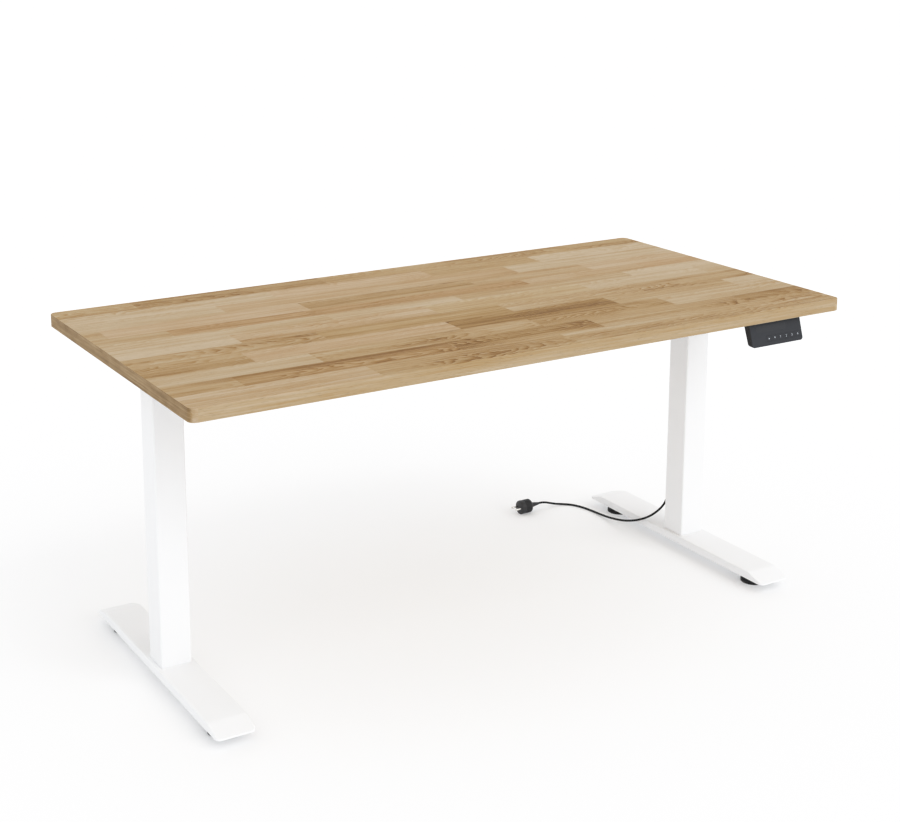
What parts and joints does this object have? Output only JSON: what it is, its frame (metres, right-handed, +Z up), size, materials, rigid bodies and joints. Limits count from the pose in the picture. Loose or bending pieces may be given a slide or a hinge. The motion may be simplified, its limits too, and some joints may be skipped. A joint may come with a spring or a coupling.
{
  "type": "height adjustable standing desk",
  "caption": "Standing desk with a wooden top on motor-driven telescopic columns with T-feet, a keypad handset, and a mains lead.",
  "frame": {"origin": "on the floor, below the middle of the tabletop, with the desk at its lowest height", "axes": "+X to the user's right along the tabletop, +Y away from the user, +Z up"},
  "size_m": [1.6, 0.8, 0.72],
  "materials": {
    "wood_top": "satin oiled hardwood staves",
    "white_powder_coat": "satin fine-texture powder coat",
    "zinc_steel": "zinc plated",
    "ground_steel": "ground",
    "bronze_nut": "machined",
    "white_plastic": "moulded, fine texture",
    "black_rubber": "matte",
    "gearbox_alloy": "die cast, matte",
    "motor_can": "satin",
    "black_plastic": "moulded, fine texture",
    "handset_plastic": "moulded, fine texture",
    "display_window": "gloss",
    "circuit_board": "gloss solder mask",
    "lead_sheath": "satin sheath",
    "nickel_pin": "nickel plated"
  },
  "bodies": {
    "base": {"foot_left": "white_powder_coat", "foot_right": "white_powder_coat", "foot_bolts": "zinc_steel", "leveller_nuts": "zinc_steel", "column_base_plates": "white_powder_coat", "outer_tube_left": "white_powder_coat", "outer_tube_right": "white_powder_coat", "guide_collars": "white_plastic", "nut_tubes": "ground_steel", "spindle_nuts": "bronze_nut", "mains_cord_drop": "lead_sheath", "mains_cord_floor": "lead_sheath", "plug_body": "black_plastic", "plug_pins": "nickel_pin"},
    "top_frame": {"tabletop": "wood_top", "inner_tube_left": "white_powder_coat", "inner_tube_right": "white_powder_coat", "lower_glides": "white_plastic", "spindle_bearings": "ground_steel", "gearbox_housings": "gearbox_alloy", "gearbox_lids": "gearbox_alloy", "motors": "motor_can", "motor_covers": "black_plastic", "head_brackets": "white_powder_coat", "side_brackets": "white_powder_coat", "bracket_bolts": "zinc_steel", "centre_rails": "white_powder_coat", "extension_rails": "white_powder_coat", "rail_bolts": "zinc_steel", "tabletop_screws": "zinc_steel", "control_box_case": "black_plastic", "control_box_lid": "black_plastic", "control_box_board": "circuit_board", "control_box_sockets": "black_plastic", "handset_case": "handset_plastic", "handset_cover": "handset_plastic", "handset_display": "display_window", "handset_board": "circuit_board", "mains_connector": "black_plastic", "mains_cord_top": "lead_sheath", "motor_leads": "lead_sheath", "handset_lead": "lead_sheath", "lead_clips": "white_plastic"},
    "spindle_left": {"spindle_left": "ground_steel", "worm_wheel_left": "bronze_nut"},
    "spindle_right": {"spindle_right": "ground_steel", "worm_wheel_right": "bronze_nut"},
    "worm_left": {"worm_left": "ground_steel"},
    "worm_right": {"worm_right": "ground_steel"},
    "leveller_front_left": {"leveller_front_left": "black_rubber"},
    "leveller_back_left": {"leveller_back_left": "black_rubber"},
    "leveller_front_right": {"leveller_front_right": "black_rubber"},
    "leveller_back_right": {"leveller_back_right": "black_rubber"},
    "key_up": {"key_up": "handset_plastic"},
    "key_down": {"key_down": "handset_plastic"},
    "key_one": {"key_one": "handset_plastic"},
    "key_two": {"key_two": "handset_plastic"},
    "key_three": {"key_three": "handset_plastic"},
    "key_four": {"key_four": "handset_plastic"}
  },
  "joints": [
    {"name": "desk_lift", "type": "slide", "parent": "base", "child": "top_frame", "axis": [0, 0, 1], "range_m": [0, 0.47], "deforming": ["mains_cord_drop"]},
    {"name": "spindle_left_turn", "type": "hinge", "parent": "top_frame", "child": "spindle_left", "pos_m": [-0.698, 0, 0.35], "axis": [0, 0, 1], "range_deg": [-5, 10580]},
    {"name": "worm_left_turn", "type": "hinge", "parent": "top_frame", "child": "worm_left", "pos_m": [-0.698, -0.024, 0.662], "axis": [1, 0, 0], "range_deg": [-148100, 50]},
    {"name": "spindle_right_turn", "type": "hinge", "parent": "top_frame", "child": "spindle_right", "pos_m": [0.698, 0, 0.35], "axis": [0, 0, 1], "range_deg": [-5, 10580]},
    {"name": "worm_right_turn", "type": "hinge", "parent": "top_frame", "child": "worm_right", "pos_m": [0.698, -0.024, 0.662], "axis": [1, 0, 0], "range_deg": [-148100, 50]},
    {"name": "leveller_front_left_height", "type": "slide", "parent": "base", "child": "leveller_front_left", "axis": [0, 0, 1], "range_m": [0, 0.008]},
    {"name": "leveller_back_left_height", "type": "slide", "parent": "base", "child": "leveller_back_left", "axis": [0, 0, 1], "range_m": [0, 0.008]},
    {"name": "leveller_front_right_height", "type": "slide", "parent": "base", "child": "leveller_front_right", "axis": [0, 0, 1], "range_m": [0, 0.008]},
    {"name": "leveller_back_right_height", "type": "slide", "parent": "base", "child": "leveller_back_right", "axis": [0, 0, 1], "range_m": [0, 0.008]},
    {"name": "key_up_press", "type": "slide", "parent": "top_frame", "child": "key_up", "axis": [0, 0.9573, -0.289], "range_m": [0, 0.0008], "stiffness_N_per_m": 600, "springref_m": -0.001},
    {"name": "key_down_press", "type": "slide", "parent": "top_frame", "child": "key_down", "axis": [0, 0.9573, -0.289], "range_m": [0, 0.0008], "stiffness_N_per_m": 600, "springref_m": -0.001},
    {"name": "key_one_press", "type": "slide", "parent": "top_frame", "child": "key_one", "axis": [0, 0.9573, -0.289], "range_m": [0, 0.0008], "stiffness_N_per_m": 600, "springref_m": -0.001},
    {"name": "key_two_press", "type": "slide", "parent": "top_frame", "child": "key_two", "axis": [0, 0.9573, -0.289], "range_m": [0, 0.0008], "stiffness_N_per_m": 600, "springref_m": -0.001},
    {"name": "key_three_press", "type": "slide", "parent": "top_frame", "child": "key_three", "axis": [0, 0.9573, -0.289], "range_m": [0, 0.0008], "stiffness_N_per_m": 600, "springref_m": -0.001},
    {"name": "key_four_press", "type": "slide", "parent": "top_frame", "child": "key_four", "axis": [0, 0.9573, -0.289], "range_m": [0, 0.0008], "stiffness_N_per_m": 600, "springref_m": -0.001}
  ],
  "couplings": [
    {"joint": "spindle_left_turn", "follows": "desk_lift", "rad_per_m": 392.7},
    {"joint": "worm_left_turn", "follows": "desk_lift", "rad_per_m": -5497.8},
    {"joint": "spindle_right_turn", "follows": "desk_lift", "rad_per_m": 392.7},
    {"joint": "worm_right_turn", "follows": "desk_lift", "rad_per_m": -5497.8}
  ]
}
